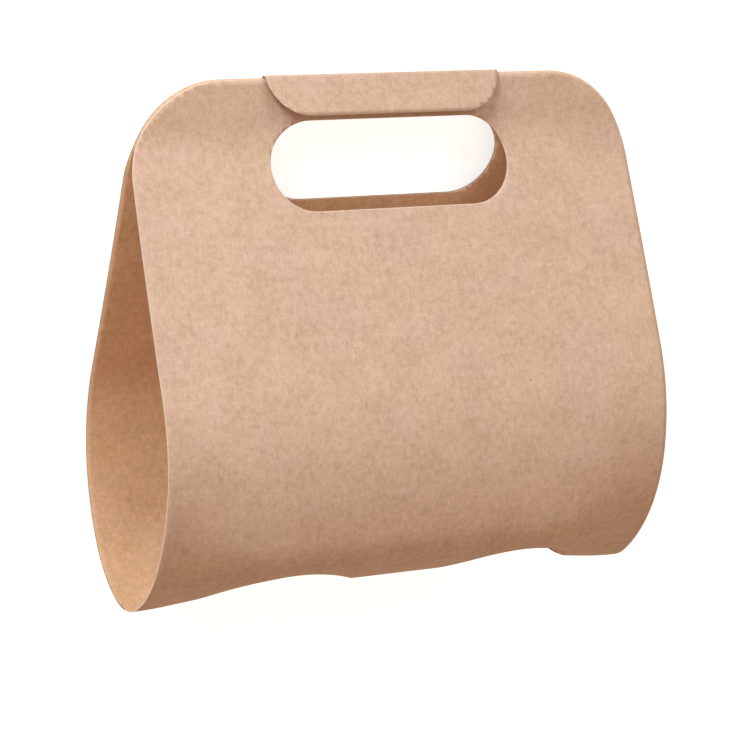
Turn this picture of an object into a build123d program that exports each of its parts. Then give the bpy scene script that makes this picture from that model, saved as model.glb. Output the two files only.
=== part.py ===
from build123d import *
import os
from math import acos, atan2, cos, degrees, hypot, radians

# Cup carrier: one sheet of die-cut board, bent into a loop that is open at both ends.
# The sheet's two ends lie against each other at the top and share one long handle hole.
# Cups drop through the round holes in the curved bottom.
# Lengths are millimetres and angles degrees.
# The loop is drawn upright first: X along its width, +Y to its back, Z = 0 at the panels' top edge.

# Sheet
board = 0.5              # thickness
panel_width = 219
top_corner_radius = 38

# Where the two panels lie against each other
panel_clearance = 0.3    # air between their inner faces
strip_height = 22        # straight part below the top edge
bend_radius = 36         # gentle bend from the strip into the slanting side

# Slanting side
side_lean = 21.8         # from upright
side_length = 84.5

# Curl from the slanting side to the middle of the bottom, where the loop is at its fullest
full_width = 124         # how far it stays so full, evenly about the middle
full_belly_radius = 104
full_belly_end = 11      # inward slope at the end of the belly arc
full_corner_radius = 24
full_corner_end = 53     # inward slope at the end of the corner arc

# The same curl at the loop's open ends, slimmer and egg-shaped
slim_belly_radius = 76
slim_belly_end = 37
slim_corner_radius = 45
slim_corner_end = 60

# Handle hole, straight through both panels
handle_width = 104
handle_height = 34
handle_drop = 16.6       # from the top edge to the hole

# Flap: grows out of the back panel's top edge and folds over the front panel
flap_width = 105
flap_depth = 16.2
flap_corner_radius = 14
flap_clearance = 0.4     # air between the foot of the fold and the front panel
flap_lift = 9            # angle at which the flap springs away from the front panel

# Cup holes in the bottom, round when seen from above
cup_hole_diameter = 67
cup_spacing = 100

cut_overshoot = 20       # how far a cutting shape reaches past what it cuts

# Middle of each panel's board, from the middle of the loop
panel_offset = (board + panel_clearance) / 2
fold_radius = (2 * panel_offset + board + flap_clearance) / 2

# Each curl as belly radius and end, then corner radius and end
full_curl = (full_belly_radius, full_belly_end, full_corner_radius, full_corner_end)
slim_curl = (slim_belly_radius, slim_belly_end, slim_corner_radius, slim_corner_end)


def side_path(offset):
    """Down the back panel: strip, bend and slanting side, shifted outwards from the middle of the board."""
    start = Vector(panel_offset + offset, 0)
    strip = Line(start, start - Vector(0, strip_height))
    bend = JernArc(strip @ 1, strip % 1, bend_radius - offset, side_lean)
    side = Line(bend @ 1, (bend @ 1) + (bend % 1) * side_length)
    return [strip, bend, side]


def bottom_radius(curl):
    """Radius that brings the last arc level in the middle of the loop."""
    belly_radius, belly_end, corner_radius, corner_end = curl
    half_width = (side_path(0)[-1] @ 1).X
    half_width += belly_radius * (cos(radians(belly_end)) - cos(radians(side_lean)))
    half_width += corner_radius * (cos(radians(corner_end)) - cos(radians(belly_end)))
    return half_width / cos(radians(corner_end))


def curl_path(curl, offset):
    """On from the slanting side to the middle of the bottom, shifted outwards from the middle of the board."""
    belly_radius, belly_end, corner_radius, corner_end = curl
    side = side_path(offset)[-1]
    belly = JernArc(side @ 1, side % 1, belly_radius + offset, -side_lean - belly_end)
    corner = JernArc(belly @ 1, belly % 1, corner_radius + offset, belly_end - corner_end)
    bottom = JernArc(corner @ 1, corner % 1, bottom_radius(curl) + offset, corner_end - 90)
    return [belly, corner, bottom]


def flap_path(offset):
    """Up from the back panel's top edge: fold and tongue, shifted outwards from the middle of the board."""
    fold = JernArc((panel_offset + offset, 0), (0, 1), fold_radius + offset, 180 - flap_lift)
    tongue = Line(fold @ 1, (fold @ 1) + (fold % 1) * flap_depth)
    return [fold, tongue]


def board_section(path_at):
    """Board of constant thickness along a path."""
    outer = path_at(board / 2)
    inner = path_at(-board / 2)
    start_edge = Line(inner[0] @ 0, outer[0] @ 0)
    end_edge = Line(inner[-1] @ 1, outer[-1] @ 1)
    return make_face(outer + inner + [start_edge, end_edge])


def half_loop_section(curl):
    """The whole back half of the loop, with this curl."""
    return board_section(lambda offset: side_path(offset) + curl_path(curl, offset))


def half_loop():
    """Back half of the loop: full in the middle, then tapering to its open ends."""
    full = half_loop_section(full_curl)
    slim = half_loop_section(slim_curl)
    middle = extrude(Plane.YZ * full, full_width / 2, both=True)
    taper = loft([Plane.YZ.offset(full_width / 2) * full, Plane.YZ.offset(panel_width / 2) * slim], ruled=True)
    return middle + taper + mirror(taper, Plane.YZ)


# Outer face of the board, where the loop reaches furthest back and down
belly_arc, _, bottom_arc = curl_path(full_curl, board / 2)
slim_bottom_arc = curl_path(slim_curl, board / 2)[-1]
depth = 2 * (belly_arc.center_point.X + belly_arc.radius)
height = max(arc.radius - arc.center_point.Y for arc in (bottom_arc, slim_bottom_arc))


def through_front_and_back(outline):
    """Solid that carries a front-view outline through the whole depth of the loop."""
    return extrude(Plane.XZ * outline, depth / 2 + cut_overshoot, both=True)


def panel_outline():
    """Front view of both panels, with rounded top corners and a square bottom."""
    outline = Rectangle(panel_width, height + cut_overshoot, align=(Align.CENTER, Align.MAX))
    top_corners = outline.vertices().group_by(Axis.Y)[-1]
    return fillet(top_corners, top_corner_radius)


def handle_outline():
    """Full-round slot for the hand."""
    return Pos(0, -handle_drop - handle_height / 2) * SlotOverall(handle_width, handle_height)


def cup_cut(x):
    """Upright round cut through the curved bottom alone, up to the widest part of the loop."""
    belly_height = height + belly_arc.center_point.Y
    align = (Align.CENTER, Align.CENTER, Align.MIN)
    cutter = Cylinder(cup_hole_diameter / 2, belly_height + cut_overshoot, align=align)
    return Pos(x, 0, -height - cut_overshoot) * cutter


def flap():
    """The flap, from the back panel's top edge over to its free lower edge with rounded corners."""
    band = extrude(Plane.YZ * board_section(flap_path), flap_width / 2, both=True)
    extent = band.bounding_box()
    outline = Pos(0, extent.min.Z) * Rectangle(flap_width, extent.size.Z, align=(Align.CENTER, Align.MIN))
    lower_corners = outline.vertices().group_by(Axis.Y)[0]
    return band & through_front_and_back(fillet(lower_corners, flap_corner_radius))


def carrier():
    """The whole carrier, upright."""
    back_half = half_loop()
    sheet = back_half + mirror(back_half, Plane.XZ)
    sheet &= through_front_and_back(panel_outline())
    sheet -= through_front_and_back(handle_outline())
    for x in (-cup_spacing / 2, cup_spacing / 2):
        sheet -= cup_cut(x)
    return sheet + flap()


def back_lean():
    """Angle from upright of the line that touches both the flap's fold and the back of the belly."""
    fold = flap_path(board / 2)[0]
    apart = fold.center_point - belly_arc.center_point
    direction = degrees(atan2(apart.Y, apart.X))
    return direction - degrees(acos((belly_arc.radius - fold.radius) / hypot(apart.X, apart.Y)))


def laid_down(upright):
    """Turns the carrier onto its back, front panel and flap up, handle towards +Y."""
    lying = Rot(X=-90 - back_lean()) * upright
    box = lying.bounding_box()
    return Pos(-box.center().X, -box.center().Y, -box.min.Z) * lying


os.makedirs("parts", exist_ok=True)
export_step(laid_down(carrier()), "parts/carrier.step")
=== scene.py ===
from math import acos, atan2, copysign, cos, hypot, radians, sin

import bmesh
import bpy
from mathutils import Matrix, Vector


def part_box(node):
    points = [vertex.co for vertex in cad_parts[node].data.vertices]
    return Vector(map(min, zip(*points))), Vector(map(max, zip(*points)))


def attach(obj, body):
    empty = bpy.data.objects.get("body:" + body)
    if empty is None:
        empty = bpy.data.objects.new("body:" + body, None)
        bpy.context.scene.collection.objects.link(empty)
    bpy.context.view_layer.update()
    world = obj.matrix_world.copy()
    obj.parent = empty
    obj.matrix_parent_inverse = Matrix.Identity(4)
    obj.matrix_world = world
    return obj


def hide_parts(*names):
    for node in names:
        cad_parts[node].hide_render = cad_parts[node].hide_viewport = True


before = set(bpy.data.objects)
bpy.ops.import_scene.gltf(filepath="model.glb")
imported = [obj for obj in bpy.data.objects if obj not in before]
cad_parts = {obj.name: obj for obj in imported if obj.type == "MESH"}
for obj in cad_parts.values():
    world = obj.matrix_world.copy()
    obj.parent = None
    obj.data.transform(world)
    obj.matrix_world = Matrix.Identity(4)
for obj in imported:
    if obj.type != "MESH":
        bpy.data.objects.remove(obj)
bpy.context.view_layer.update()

# Carrier
# One sheet of brown kraft board, half a millimetre thick, die-cut flat and rolled into a loop. Its
# back panel ends in a flap that folds over the front panel and holds the loop shut, so nothing is
# glued. Cups hang in the round holes of the curved bottom.

# The flat sheet: X along its width, Y from the flap at the back to the front panel's end
board = 0.0005
half_length = 0.2290           # of board, from the panels' top edge to the middle of the bottom
panel_width = 0.2182
top_corner_radius = 0.038
back_corner_radius = 0.0372
front_shortfall = 0.0004       # how much lower the front panel ends than the back one
handle_width = 0.104           # the full-round slot for the hand
handle_height = 0.0355
handle_drop = 0.0166           # from the panel's top edge down to the slot
back_handle_trim = 0.0017      # how much further in the back panel's slot starts, at either end
back_handle_lift = 0.0022      # and how much nearer the fold it is
cup_hole_width = 0.0714
cup_hole_length = 0.0672
cup_hole_places = (-0.0512, 0.0495)
flap_left = -0.0543
flap_right = 0.0480
flap_depth = 0.0151
flap_left_radius = 0.0195
flap_right_radius = 0.0160
cell = 0.002                   # size of the sheet's mesh cells
fold_steps = 12                # rows of cells round the flap's fold

# The loop in section, from the panels' top edge down to the middle of the bottom: at its left end,
# in the middle, where cups fill it, and at its right end. Leans and ends are angles from upright.
panel_offset = 0.0004          # from the middle of the loop to the middle of either panel's board
left_end = {
    "Strip Height": 0.0186, "Bend Radius": 0.0366, "Side Lean": radians(18.9),
    "Side Length": 0.0889, "Side Turn": radians(3.4), "Belly Radius": 0.0772,
    "Belly End": radians(32.2), "Corner Radius": 0.0448, "Corner End": radians(63.1),
}
middle = {
    "Strip Height": 0.0178, "Bend Radius": 0.0360, "Side Lean": radians(20.8),
    "Side Length": 0.0912, "Side Turn": radians(0.2), "Belly Radius": 0.1040,
    "Belly End": radians(11), "Corner Radius": 0.0240, "Corner End": radians(53),
}
right_end = {
    "Strip Height": 0.0193, "Bend Radius": 0.0517, "Side Lean": radians(24.1),
    "Side Length": 0.0722, "Side Turn": radians(-1.3), "Belly Radius": 0.0889,
    "Belly End": radians(5), "Corner Radius": 0.0702, "Corner End": radians(51.4),
}
full_reach = 0.060             # the loop is at its fullest up to here from the middle
fold_radius = 0.00085          # of the middle of the board in the flap's fold
flap_lift = radians(16)        # how far the flap stands out from the front panel
fold_length = fold_radius * (radians(180) - flap_lift)
flap_end = -half_length - fold_length - flap_depth


def side_end(section):
    """Where the slanting side ends, outward and below the top edge, and its lean there."""
    lean = section["Side Lean"]
    half_turn = section["Side Turn"] / 2
    chord = section["Side Length"] * sin(half_turn) / half_turn
    outward = panel_offset + section["Bend Radius"] * (1 - cos(lean))
    outward += chord * sin(lean + half_turn)
    below = section["Strip Height"] + section["Bend Radius"] * sin(lean)
    below += chord * cos(lean + half_turn)
    return outward, below, lean + section["Side Turn"]


def bottom_radius(section):
    """Radius that brings the last arc level in the middle of the loop."""
    outward, below, lean = side_end(section)
    belly_end, corner_end = section["Belly End"], section["Corner End"]
    half_depth = outward + section["Belly Radius"] * (cos(belly_end) - cos(lean))
    half_depth += section["Corner Radius"] * (cos(corner_end) - cos(belly_end))
    return half_depth / cos(corner_end)


def curl_start(section):
    """Length of board from the panels' top edge to the end of the slanting side."""
    bend = section["Bend Radius"] * section["Side Lean"]
    return section["Strip Height"] + bend + section["Side Length"]


def board_length(section):
    """Length of board from the panels' top edge to the middle of the bottom."""
    lean = side_end(section)[2]
    length = curl_start(section) + section["Belly Radius"] * (lean + section["Belly End"])
    length += section["Corner Radius"] * (section["Corner End"] - section["Belly End"])
    return length + bottom_radius(section) * (radians(90) - section["Corner End"])


def evenly(start, end, step):
    """Places from start up to but not including end, about a step apart."""
    count = max(1, round((end - start) / step))
    return [start + (end - start) * i / count for i in range(count)]


def grid_mesh(across, along):
    """Flat grid of faces between the given places."""
    bm = bmesh.new()
    rows = [[bm.verts.new((x, y, 0)) for x in across] for y in along]
    for low, high in zip(rows, rows[1:]):
        for left in range(len(across) - 1):
            bm.faces.new((low[left], low[left + 1], high[left + 1], high[left]))
    return bm


def cut_out(bm, outline):
    """Cuts away where outline(x, y) is negative, with the new edge's corners on the outline."""
    side = {v: round(outline(v.co.x, v.co.y), 6) for v in bm.verts}
    for edge in list(bm.edges):
        start, end = edge.verts
        if side[start] * side[end] < 0:
            share = side[start] / (side[start] - side[end])
            side[bmesh.utils.edge_split(edge, start, share)[1]] = 0
    crossed = [f for f in bm.faces if min(side[v] for v in f.verts) < 0]
    corners = dict.fromkeys(v for f in crossed for v in f.verts if side[v] == 0)
    bmesh.ops.connect_verts(bm, verts=list(corners))
    inside = [f for f in bm.faces if min(side[v] for v in f.verts) < 0]
    bmesh.ops.delete(bm, geom=inside, context="FACES")


def slot_outline(centre, width, height):
    """Full-round slot across the sheet."""
    def outline(x, y):
        reach = max(abs(x) - (width - height) / 2, 0)
        return hypot(reach, y - centre) - height / 2
    return outline


def oval_outline(centre, width, length):
    """Oval hole across the bottom of the loop."""
    def outline(x, y):
        return (hypot((x - centre) * 2 / width, y * 2 / length) - 1) * width / 2
    return outline


def corner_outline(left, right, end, left_radius, right_radius):
    """Rounded corners where the sheet's sides meet a straight end at either sign of Y."""
    def outline(x, y):
        on_left = x < (left + right) / 2
        radius = left_radius if on_left else right_radius
        past_side = radius - (x - left if on_left else right - x)
        past_end = radius - (end - y) * copysign(1, end)
        return radius - hypot(max(past_side, 0), max(past_end, 0))
    return outline


def die_cut_sheet():
    """The flat sheet as the die leaves it, without thickness."""
    half_width = panel_width / 2
    front_end = half_length - front_shortfall
    across = evenly(-half_width, flap_left, cell) + evenly(flap_left, flap_right, cell)
    across += evenly(flap_right, half_width, cell) + [half_width]
    along = evenly(flap_end, -half_length - fold_length, cell)
    along += evenly(-half_length - fold_length, -half_length, fold_length / fold_steps)
    along += evenly(-half_length, 0, cell) + evenly(0, front_end, cell) + [front_end]
    bm = grid_mesh(across, along)
    fold_start = -half_length - fold_length / fold_steps / 4
    beside_flap = []
    for face in bm.faces:
        centre = face.calc_center_median()
        if centre.y < fold_start and not flap_left < centre.x < flap_right:
            beside_flap.append(face)
    bmesh.ops.delete(bm, geom=beside_flap, context="FACES")
    handle_middle = half_length - handle_drop - handle_height / 2
    cut_out(bm, slot_outline(handle_middle, handle_width, handle_height))
    back_middle = -handle_middle - back_handle_lift
    cut_out(bm, slot_outline(back_middle, handle_width - 2 * back_handle_trim, handle_height))
    for place in cup_hole_places:
        cut_out(bm, oval_outline(place, cup_hole_width, cup_hole_length))
    cut_out(bm, corner_outline(
        -half_width, half_width, front_end, top_corner_radius, top_corner_radius
    ))
    back = corner_outline(
        -half_width, half_width, -half_length, back_corner_radius, back_corner_radius
    )
    flap = corner_outline(flap_left, flap_right, flap_end, flap_left_radius, flap_right_radius)
    cut_out(bm, lambda x, y: 1 if y < fold_start else back(x, y))
    cut_out(bm, lambda x, y: flap(x, y) if y < fold_start else 1)
    mesh = bpy.data.meshes.new("die_cut_sheet")
    bm.to_mesh(mesh)
    bm.free()
    return mesh


def add_node(tree, kind, inputs=None, **settings):
    """A node with its settings made and its inputs filled in or linked, by name or number."""
    made = tree.nodes.new(kind)
    for name, value in settings.items():
        setattr(made, name, value)
    for key, value in (inputs or {}).items():
        if isinstance(value, bpy.types.NodeSocket):
            tree.links.new(value, made.inputs[key])
        else:
            made.inputs[key].default_value = value
    return made


def add_sockets(tree, outputs, inputs):
    """Named sockets of a node group; each input is a name, a kind and a starting value."""
    for name, kind in outputs:
        tree.interface.new_socket(name, in_out="OUTPUT", socket_type=kind)
    for name, kind, value in inputs:
        made = tree.interface.new_socket(name, in_out="INPUT", socket_type=kind)
        if value is not None:
            made.default_value = value


def maths(tree, operation, *values, **settings):
    """Output of one Math node."""
    inputs = dict(enumerate(values))
    return add_node(tree, "ShaderNodeMath", inputs, operation=operation, **settings).outputs[0]


def board_run_group():
    """One run of board in section: straight, or an arc that starts along the heading."""
    tree = bpy.data.node_groups.new("board_run", "GeometryNodeTree")
    carried = ("Outward", "Down", "Heading", "Distance")
    add_sockets(
        tree,
        [(name, "NodeSocketFloat") for name in carried],
        [(name, "NodeSocketFloat", 0.0) for name in (*carried, "Length", "Turn")],
    )
    given = add_node(tree, "NodeGroupInput").outputs
    result = add_node(tree, "NodeGroupOutput")
    share = maths(tree, "DIVIDE", given["Distance"], given["Length"], use_clamp=True)
    covered = maths(tree, "MULTIPLY", share, given["Length"])
    turned = maths(tree, "MULTIPLY", share, given["Turn"])
    not_zero = 1e-5                # keeps the chord's division sound on a straight run
    half_turn = maths(tree, "ADD", maths(tree, "MULTIPLY", turned, 0.5), not_zero)
    chord_share = maths(tree, "DIVIDE", maths(tree, "SINE", half_turn), half_turn)
    chord = maths(tree, "MULTIPLY", covered, chord_share)
    along = maths(tree, "ADD", given["Heading"], half_turn)
    reached = {
        "Outward": maths(tree, "MULTIPLY_ADD", chord, maths(tree, "SINE", along), given["Outward"]),
        "Down": maths(tree, "MULTIPLY_ADD", chord, maths(tree, "COSINE", along), given["Down"]),
        "Heading": maths(tree, "ADD", given["Heading"], turned),
        "Distance": maths(tree, "SUBTRACT", given["Distance"], given["Length"]),
    }
    for name, value in reached.items():
        tree.links.new(value, result.inputs[name])
    return tree


def loop_sizes():
    """What the rolled loop's tree is told, by the names of its inputs."""
    sizes = {
        "Board": board, "Half Width": panel_width / 2, "Half Length": half_length,
        "Panel Offset": panel_offset, "Full Reach": full_reach, "Flap Depth": flap_depth,
        "Fold Length": fold_length, "Fold Turn": radians(180) - flap_lift,
    }
    for place, section in (("Left", left_end), ("Middle", middle), ("Right", right_end)):
        for name, value in section.items():
            sizes[f"{place} {name}"] = value
        sizes[f"{place} Bottom Radius"] = bottom_radius(section)
        sizes[f"{place} Curl Start"] = curl_start(section)
        sizes[f"{place} Curl Slack"] = board_length(section) - half_length
    return sizes


def rolled_loop_tree():
    """Rolls the flat sheet into the loop, folds the flap over and gives the board its thickness."""
    tree = bpy.data.node_groups.new("rolled_loop", "GeometryNodeTree")
    add_sockets(
        tree,
        [("Geometry", "NodeSocketGeometry")],
        [("Geometry", "NodeSocketGeometry", None), ("Material", "NodeSocketMaterial", None)]
        + [(name, "NodeSocketFloat", 0.0) for name in loop_sizes()],
    )
    given = add_node(tree, "NodeGroupInput").outputs
    result = add_node(tree, "NodeGroupOutput")
    run_tree = board_run_group()

    def run(before, length, turn=0.0):
        made = add_node(tree, "GeometryNodeGroup", node_tree=run_tree)
        for name in ("Outward", "Down", "Heading", "Distance"):
            tree.links.new(before[name], made.inputs[name])
        for name, value in (("Length", length), ("Turn", turn)):
            if isinstance(value, float):
                made.inputs[name].default_value = value
            else:
                tree.links.new(value, made.inputs[name])
        return made.outputs

    def arc(before, radius, turn):
        length = maths(tree, "MULTIPLY", radius, maths(tree, "ABSOLUTE", turn))
        return run(before, length, turn)

    def section(place, below):
        """Folded flap and back half of the loop, for board this far below the panels' top edge."""
        names = (*middle, "Bottom Radius", "Curl Start", "Curl Slack")
        own = {name: given[f"{place} {name}"] for name in names}
        slack = add_node(
            tree, "ShaderNodeMapRange",
            {0: below, 1: own["Curl Start"], 2: given["Half Length"], 3: 0.0, 4: own["Curl Slack"]},
        ).outputs[0]
        distance = maths(tree, "ADD", below, slack)
        zero = maths(tree, "MULTIPLY", distance, 0.0)
        start = {
            "Outward": given["Panel Offset"], "Down": zero, "Heading": zero, "Distance": distance
        }
        fold = run(start, maths(tree, "MULTIPLY", given["Fold Length"], -1.0), given["Fold Turn"])
        flap = run(fold, maths(tree, "MULTIPLY", given["Flap Depth"], -1.0))
        panel = {name: flap[name] for name in ("Outward", "Down", "Heading")}
        strip = run({**panel, "Distance": distance}, own["Strip Height"])
        bend = arc(strip, own["Bend Radius"], own["Side Lean"])
        side = run(bend, own["Side Length"], own["Side Turn"])
        side_lean = maths(tree, "ADD", own["Side Lean"], own["Side Turn"])
        belly_turn = maths(tree, "MULTIPLY", maths(tree, "ADD", side_lean, own["Belly End"]), -1.0)
        belly = arc(side, own["Belly Radius"], belly_turn)
        corner_turn = maths(tree, "SUBTRACT", own["Belly End"], own["Corner End"])
        corner = arc(belly, own["Corner Radius"], corner_turn)
        bottom_turn = maths(tree, "SUBTRACT", own["Corner End"], radians(90))
        return arc(corner, own["Bottom Radius"], bottom_turn)

    def marked_with(geometry, name, value, data_type, domain):
        """The geometry with a named attribute stored on it."""
        inputs = {"Geometry": geometry, "Name": name, "Value": value}
        return add_node(
            tree, "GeometryNodeStoreNamedAttribute", inputs, data_type=data_type, domain=domain
        ).outputs[0]

    # Marks on the flat sheet: its layout as a UV map, and the distance from the nearest cut
    position = add_node(tree, "GeometryNodeInputPosition").outputs[0]
    boundary = add_node(
        tree, "FunctionNodeCompare",
        {2: add_node(tree, "GeometryNodeInputMeshEdgeNeighbors").outputs[0], 3: 1},
        data_type="INT", operation="EQUAL",
    ).outputs[0]
    cuts = add_node(
        tree, "GeometryNodeSeparateGeometry",
        {"Geometry": given["Geometry"], "Selection": boundary}, domain="EDGE",
    ).outputs["Selection"]
    nearness = add_node(
        tree, "GeometryNodeProximity", {0: cuts}, target_element="EDGES"
    ).outputs["Distance"]
    marked = marked_with(given["Geometry"], "cut_distance", nearness, "FLOAT", "POINT")

    # Thickness: the sheet is raised into a plate whose faces and walls are marked
    plate = add_node(
        tree, "GeometryNodeExtrudeMesh",
        {"Mesh": marked, "Offset": (0, 0, 1), "Offset Scale": given["Board"], "Individual": False},
    ).outputs
    walled = marked_with(plate["Mesh"], "cut_face", plate["Side"], "FLOAT", "FACE")
    underside = add_node(tree, "GeometryNodeFlipFaces", {0: marked}).outputs[0]
    inner = marked_with(underside, "inner_face", 1.0, "FLOAT", "FACE")
    joined = add_node(tree, "GeometryNodeJoinGeometry")
    tree.links.new(walled, joined.inputs[0])
    tree.links.new(inner, joined.inputs[0])
    solid = add_node(
        tree, "GeometryNodeMergeByDistance", {"Geometry": joined.outputs[0], "Distance": 1e-6}
    ).outputs[0]
    mapped = marked_with(solid, "flat_sheet", position, "FLOAT2", "CORNER")

    # Roll: the section at either end eases into the full one where cups fill the loop
    flat = add_node(tree, "ShaderNodeSeparateXYZ", {0: position}).outputs
    below = maths(tree, "SUBTRACT", given["Half Length"], maths(tree, "ABSOLUTE", flat["Y"]))
    sections = {place: section(place, below) for place in ("Left", "Middle", "Right")}
    on_right = maths(tree, "GREATER_THAN", flat["X"], 0.0)
    fullness = add_node(
        tree, "ShaderNodeMapRange",
        {"Value": maths(tree, "ABSOLUTE", flat["X"]), "From Min": given["Full Reach"],
         "From Max": given["Half Width"], "To Min": 1.0, "To Max": 0.0},
        interpolation_type="SMOOTHSTEP",
    ).outputs[0]

    def mixed(share, first, second):
        values = {0: share, 2: first, 3: second}
        return add_node(tree, "ShaderNodeMix", values, data_type="FLOAT").outputs[0]

    def between(name):
        end = mixed(on_right, sections["Left"][name], sections["Right"][name])
        return mixed(fullness, end, sections["Middle"][name])

    heading = between("Heading")
    layer = maths(tree, "SUBTRACT", flat["Z"], maths(tree, "MULTIPLY", given["Board"], 0.5))
    outward = maths(tree, "MULTIPLY_ADD", layer, maths(tree, "COSINE", heading), between("Outward"))
    rise = maths(tree, "MULTIPLY", maths(tree, "SINE", heading), -1.0)
    down = maths(tree, "MULTIPLY_ADD", layer, rise, between("Down"))
    to_back = maths(tree, "MULTIPLY", maths(tree, "SIGN", flat["Y"]), -1.0)
    rolled_place = add_node(
        tree, "ShaderNodeCombineXYZ",
        {"X": flat["X"], "Y": maths(tree, "MULTIPLY", outward, to_back),
         "Z": maths(tree, "MULTIPLY", down, -1.0)},
    ).outputs[0]
    rolled = add_node(
        tree, "GeometryNodeSetPosition", {"Geometry": mapped, "Position": rolled_place}
    ).outputs[0]

    wall = add_node(
        tree, "GeometryNodeInputNamedAttribute", {"Name": "cut_face"}, data_type="FLOAT"
    ).outputs[0]
    shaded = add_node(
        tree, "GeometryNodeSetShadeSmooth",
        {"Geometry": rolled, "Shade Smooth": maths(tree, "LESS_THAN", wall, 0.5)}, domain="FACE",
    ).outputs[0]
    realized = add_node(tree, "GeometryNodeRealizeInstances", {0: shaded}).outputs[0]
    finished = add_node(
        tree, "GeometryNodeSetMaterial", {"Geometry": realized, "Material": given["Material"]}
    ).outputs[0]
    tree.links.new(finished, result.inputs["Geometry"])
    return tree


def back_lean():
    """Angle from upright of the line that touches the flap's fold and the back of the belly."""
    outward, below, lean = side_end(middle)
    radius = middle["Belly Radius"]
    belly = Vector((outward - radius * cos(lean), -below - radius * sin(lean)))
    fold = Vector((panel_offset - fold_radius, 0))
    apart = fold - belly
    return atan2(apart.y, apart.x) - acos((radius - fold_radius) / apart.length)


# The board's colours: paler and darker pulp for each face, the bare cuts and the specks
outer_pulp = {"pale": (0.720, 0.493, 0.381), "dark": (0.440, 0.278, 0.182)}
inner_pulp = {"pale": (0.870, 0.552, 0.352), "dark": (0.540, 0.302, 0.155)}
front_cut_colour = (0.820, 0.630, 0.520)
# Painted shade: the back panel's cut walls, the flap's too, are coloured dark for the shadow they
# lie in
back_cut_shade_colour = (0.230, 0.165, 0.130)
speck_colour = (0.180, 0.095, 0.055)
# The paler rim along a cut on the outer face is a painted highlight
cut_highlight_width = 0.0006          # of the paler rim along a cut, on the outer face
cut_highlight_share = 0.40
tone_range = (0.30, 0.70)      # the pulp's tones that come out darkest and palest
roughness = (0.93, 0.80)       # at those two tones
relief_height = 0.00012

# The marks in its pulp, from fine to coarse
fibre_width = 0.0006
fibre_slimness = 0.16          # width over length
fibre_turns = (0.6, -0.9)
fibre_share = 0.35
grain_size = 0.003
speck_spacing = 0.006
speck_edge = (0.030, 0.075)    # where a speck fades out, as a share of their spacing
speck_wander = (0.0009, 0.0009, 0.0)
speckless_share = 0.72         # of the places where a speck could be
darkest_speck = 0.85
cloud_size = 0.014
cloud_share = 0.20
warmth_size = 0.030


def pulp_group():
    """Grain, fibres, clouds and specks of unbleached pulp, from a place on the flat sheet."""
    tree = bpy.data.node_groups.new("pulp", "ShaderNodeTree")
    add_sockets(
        tree,
        [(name, "NodeSocketFloat") for name in ("Tone", "Warmth", "Specks", "Height")],
        [("Place", "NodeSocketVector", None), ("Grain Size", "NodeSocketFloat", grain_size),
         ("Fibre Width", "NodeSocketFloat", fibre_width),
         ("Cloud Size", "NodeSocketFloat", cloud_size),
         ("Speck Spacing", "NodeSocketFloat", speck_spacing)],
    )
    given = add_node(tree, "NodeGroupInput").outputs
    result = add_node(tree, "NodeGroupOutput")

    def noise(size, detail, roughness, vector=given["Place"], distortion=0.0):
        inputs = {
            "Vector": vector, "Scale": maths(tree, "DIVIDE", 1.0, size), "Detail": detail,
            "Roughness": roughness, "Distortion": distortion,
        }
        return add_node(tree, "ShaderNodeTexNoise", inputs, noise_dimensions="3D").outputs["Fac"]

    def fibres(turn):
        """Long thin streaks that lie one way."""
        along = add_node(
            tree, "ShaderNodeMapping",
            {"Vector": given["Place"], "Rotation": (0, 0, turn), "Scale": (1, fibre_slimness, 1)},
        ).outputs["Vector"]
        return noise(given["Fibre Width"], 1.0, 0.5, along, 1.2)

    def mixed(first, second, share):
        values = {0: share, 2: first, 3: second}
        return add_node(tree, "ShaderNodeMix", values, data_type="FLOAT").outputs[0]

    def spread(value, low, high, start, end):
        values = {0: value, 1: low, 2: high, 3: start, 4: end}
        return add_node(tree, "ShaderNodeMapRange", values).outputs[0]

    grain = noise(given["Grain Size"], 3.0, 0.85)
    crossed = mixed(fibres(fibre_turns[0]), fibres(fibre_turns[1]), 0.5)
    surface = mixed(grain, crossed, fibre_share)
    clouded = mixed(surface, noise(given["Cloud Size"], 2.0, 0.5), cloud_share)
    tree.links.new(clouded, result.inputs["Tone"])
    tree.links.new(surface, result.inputs["Height"])
    tree.links.new(noise(warmth_size, 2.0, 0.5), result.inputs["Warmth"])

    # Specks: a few of the cells of a loose pattern have one, with a ragged edge
    wobble = add_node(
        tree, "ShaderNodeTexNoise", {"Vector": given["Place"], "Scale": 900.0, "Detail": 1.0}
    ).outputs["Color"]
    nudged = add_node(
        tree, "ShaderNodeVectorMath", {0: wobble, 1: speck_wander, 2: given["Place"]},
        operation="MULTIPLY_ADD",
    ).outputs[0]
    density = maths(tree, "DIVIDE", 1.0, given["Speck Spacing"])
    cells = add_node(
        tree, "ShaderNodeTexVoronoi", {"Vector": nudged, "Scale": density, "Randomness": 1.0}
    ).outputs
    speck = spread(cells["Distance"], *speck_edge, 1.0, 0.0)
    chance = add_node(tree, "ShaderNodeSeparateColor", {0: cells["Color"]}).outputs[0]
    strength = spread(chance, speckless_share, 1.0, 0.0, darkest_speck)
    tree.links.new(maths(tree, "MULTIPLY", speck, strength), result.inputs["Specks"])
    return tree


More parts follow.
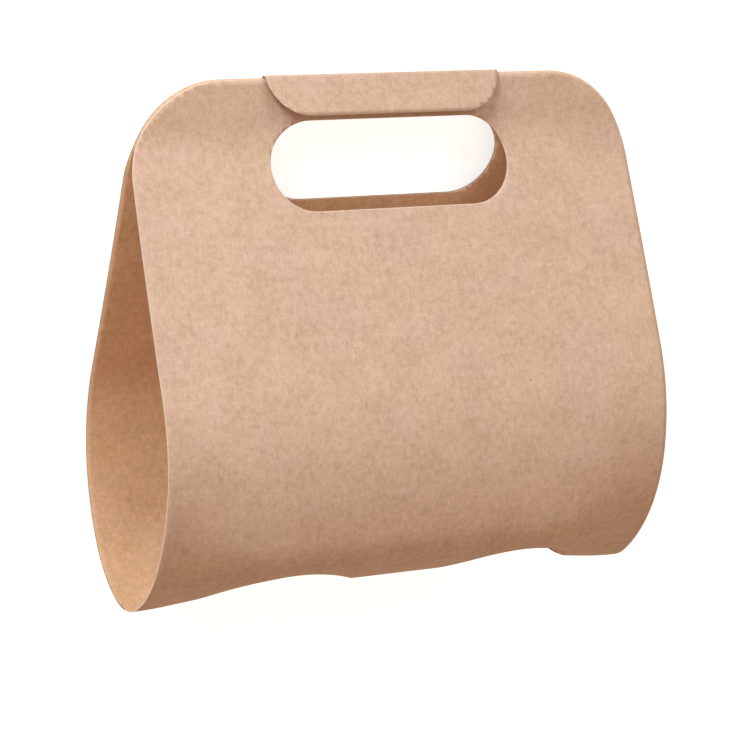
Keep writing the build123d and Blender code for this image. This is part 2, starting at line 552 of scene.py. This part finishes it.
def kraft_board_material():
    """The board's outer face, inner face and cut edges, told apart by the sheet's attributes."""
    material = bpy.data.materials.new("kraft_board")
    material.use_nodes = True
    tree = material.node_tree
    shader = tree.nodes["Principled BSDF"]
    flat_place = add_node(tree, "ShaderNodeUVMap", uv_map="flat_sheet").outputs[0]
    pulp = add_node(tree, "ShaderNodeGroup", {"Place": flat_place}, node_tree=pulp_group()).outputs

    def attribute(name):
        return add_node(tree, "ShaderNodeAttribute", attribute_name=name).outputs["Fac"]

    def spread(value, low, high, start=0.0, end=1.0):
        values = {0: value, 1: low, 2: high, 3: start, 4: end}
        return add_node(tree, "ShaderNodeMapRange", values).outputs[0]

    def mixed(share, first, second, blend="MIX"):
        values = {0: share, 6: first, 7: second}
        mix = add_node(tree, "ShaderNodeMix", values, data_type="RGBA", blend_type=blend)
        return mix.outputs[2]

    tone = spread(pulp["Tone"], *tone_range)
    outer = mixed(tone, (*outer_pulp["dark"], 1), (*outer_pulp["pale"], 1))
    inner = mixed(tone, (*inner_pulp["dark"], 1), (*inner_pulp["pale"], 1))
    face = mixed(attribute("inner_face"), outer, inner)
    warmth = spread(pulp["Warmth"], 0.35, 0.65)
    tint = mixed(warmth, (1.0, 0.985, 1.03, 1), (1.0, 1.01, 0.95, 1))
    warmed = mixed(1.0, face, tint, "MULTIPLY")
    specked = mixed(pulp["Specks"], warmed, (*speck_colour, 1))

    # Cuts: the bare wall is pale in front and painted dark as shade at the back, with a pale rim
    # outside as painted highlight
    outside = maths(tree, "SUBTRACT", 1.0, attribute("inner_face"))
    # Painted highlight: the outer face is paled towards the cut colour close to every cut
    beside_cut = spread(attribute("cut_distance"), 0.0, cut_highlight_width, cut_highlight_share, 0.0)
    painted_highlight_mask = maths(tree, "MULTIPLY", beside_cut, outside)
    cut_highlighted = mixed(painted_highlight_mask, specked, (*front_cut_colour, 1))
    # Painted shade: the cut walls on the back half of the sheet take the dark colour
    along_sheet = add_node(tree, "ShaderNodeSeparateXYZ", {0: flat_place}).outputs["Y"]
    painted_shade_on_back = maths(tree, "LESS_THAN", along_sheet, 0.0)
    cut = mixed(painted_shade_on_back, (*front_cut_colour, 1), (*back_cut_shade_colour, 1))
    tree.links.new(mixed(attribute("cut_face"), cut_highlighted, cut), shader.inputs["Base Color"])

    rough = spread(pulp["Tone"], *tone_range, *roughness)
    tree.links.new(rough, shader.inputs["Roughness"])
    shader.inputs["Specular IOR Level"].default_value = 0.3
    relief = {"Strength": 0.35, "Distance": relief_height, "Height": pulp["Height"]}
    tree.links.new(add_node(tree, "ShaderNodeBump", relief).outputs[0], shader.inputs["Normal"])
    return material


kraft_board = kraft_board_material()


def rolled_mesh():
    """The finished carrier as a plain mesh, upright, with its top edge level with the origin."""
    sheet = bpy.data.objects.new("sheet", die_cut_sheet())
    bpy.context.scene.collection.objects.link(sheet)
    roll = sheet.modifiers.new("roll", "NODES")
    roll.node_group = rolled_loop_tree()
    chosen = {"Material": kraft_board, **loop_sizes()}
    for item in roll.node_group.interface.items_tree:
        if item.in_out == "INPUT" and item.name in chosen:
            roll[item.identifier] = chosen[item.name]
    sheet.update_tag()
    depsgraph = bpy.context.evaluated_depsgraph_get()
    mesh = bpy.data.meshes.new_from_object(sheet.evaluated_get(depsgraph), depsgraph=depsgraph)
    bpy.data.objects.remove(sheet)
    return mesh


def onto_table(mesh):
    """The move that lays the upright carrier on its back, with its handle towards +Y."""
    turn = Matrix.Rotation(-radians(90) - back_lean(), 4, "X")
    places = [turn @ v.co for v in mesh.vertices]
    low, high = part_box("carrier")
    shift = (0, high.y - max(place.y for place in places), low.z - min(place.z for place in places))
    return Matrix.Translation(shift) @ turn


carrier_shape = rolled_mesh()
to_table = onto_table(carrier_shape)
carrier_shape.transform(to_table)
carrier = bpy.data.objects.new("kraft_carrier", carrier_shape)
bpy.context.scene.collection.objects.link(carrier)
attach(carrier, "root")
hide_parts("carrier")

# Table and background
# A plain white table under the carrier, which takes a soft shadow. It runs on into the white
# background, as a sweep of studio paper does.

table_reach = 6.0
table_colour = (0.80, 0.80, 0.80, 1)
table_fill = 0.74              # lifts the table towards pure white where the camera sees it


def seen_directly(tree):
    """1 where the camera sees the surface, by itself or in gloss or glass, else 0."""
    rays = add_node(tree, "ShaderNodeLightPath").outputs
    mirrored = maths(tree, "MAXIMUM", rays["Is Glossy Ray"], rays["Is Transmission Ray"])
    return maths(tree, "MAXIMUM", rays["Is Camera Ray"], mirrored)


def table_material():
    """White that takes the shadow, and is lifted to pure white where the camera sees it."""
    material = bpy.data.materials.new("white_table")
    material.use_nodes = True
    tree = material.node_tree
    tree.nodes.remove(tree.nodes["Principled BSDF"])
    white = add_node(tree, "ShaderNodeBsdfDiffuse", {"Color": table_colour})
    fill = maths(tree, "MULTIPLY", seen_directly(tree), table_fill)
    lift = add_node(tree, "ShaderNodeEmission", {"Color": (1, 1, 1, 1), "Strength": fill})
    both = add_node(tree, "ShaderNodeAddShader", {0: white.outputs[0], 1: lift.outputs[0]})
    tree.links.new(both.outputs[0], tree.nodes["Material Output"].inputs["Surface"])
    return material


table_mesh = bpy.data.meshes.new("table")
signs = ((-1, -1), (1, -1), (1, 1), (-1, 1))
corners = [(x * table_reach, y * table_reach, 0) for x, y in signs]
table_mesh.from_pydata(corners, [], [(0, 1, 2, 3)])
table_mesh.materials.append(table_material())
table = bpy.data.objects.new("table", table_mesh)
bpy.context.scene.collection.objects.link(table)

# Light
# Two soft lamps above the handle, a little cooler than the warm, even light of the room. They
# stand where they would if the carrier were upright in front of the camera.

room_light = (0.58, 0.44, 0.33, 1)
lamp_size = 0.4
lamp_aim = (0, 0, -0.09)
lamps = {
    "key": {"place": (-0.55, -0.36, 0.60), "power": 8.0, "colour": (0.77, 0.92, 1.00)},
    "fill": {"place": (0.40, -0.50, 0.60), "power": 2.8, "colour": (0.74, 0.88, 1.00)},
}

world = bpy.data.worlds.new("white_room")
bpy.context.scene.world = world
world.use_nodes = True
room = world.node_tree
white_where_seen = {0: seen_directly(room), 6: room_light, 7: (1, 1, 1, 1)}
seen = add_node(room, "ShaderNodeMix", white_where_seen, data_type="RGBA").outputs[2]
room.links.new(seen, room.nodes["Background"].inputs["Color"])

for name, lamp in lamps.items():
    light = bpy.data.lights.new(name, "AREA")
    light.shape = "DISK"
    light.size = lamp_size
    light.energy = lamp["power"]
    light.color = lamp["colour"]
    made = bpy.data.objects.new(name, light)
    place = to_table @ Vector(lamp["place"])
    aim = to_table @ Vector(lamp_aim)
    turn = (aim - place).to_track_quat("-Z", "Y").to_matrix().to_4x4()
    made.matrix_world = Matrix.Translation(place) @ turn
    bpy.context.scene.collection.objects.link(made)

# Camera
# It looks at the carrier as if that stood upright: from the front, a little from the left and from
# above, with a long lens.

view_turn = radians(28.307)
view_drop = radians(11.556)
view_roll = radians(1.439)
view_distance = 1.13079
view_target = Vector((-0.00263, 0.0001, -0.11850))
view_focal = 2861.38           # in pixels of the photograph
photo_width = 750
sensor_width = 36.0

ahead = Vector((
    sin(view_turn) * cos(view_drop), cos(view_turn) * cos(view_drop), -sin(view_drop)
))
level = Vector((cos(view_turn), -sin(view_turn), 0))
above = level.cross(ahead)
right = level * cos(view_roll) + above * sin(view_roll)
up = above * cos(view_roll) - level * sin(view_roll)
stand = Matrix((right, up, -ahead)).transposed().to_4x4()
stand.translation = view_target - ahead * view_distance

camera_data = bpy.data.cameras.new("camera")
camera_data.sensor_width = sensor_width
camera_data.lens = view_focal * sensor_width / photo_width
camera = bpy.data.objects.new("camera", camera_data)
camera.matrix_world = to_table @ stand
bpy.context.scene.collection.objects.link(camera)
bpy.context.scene.camera = camera

bpy.context.scene.view_settings.view_transform = "Standard"
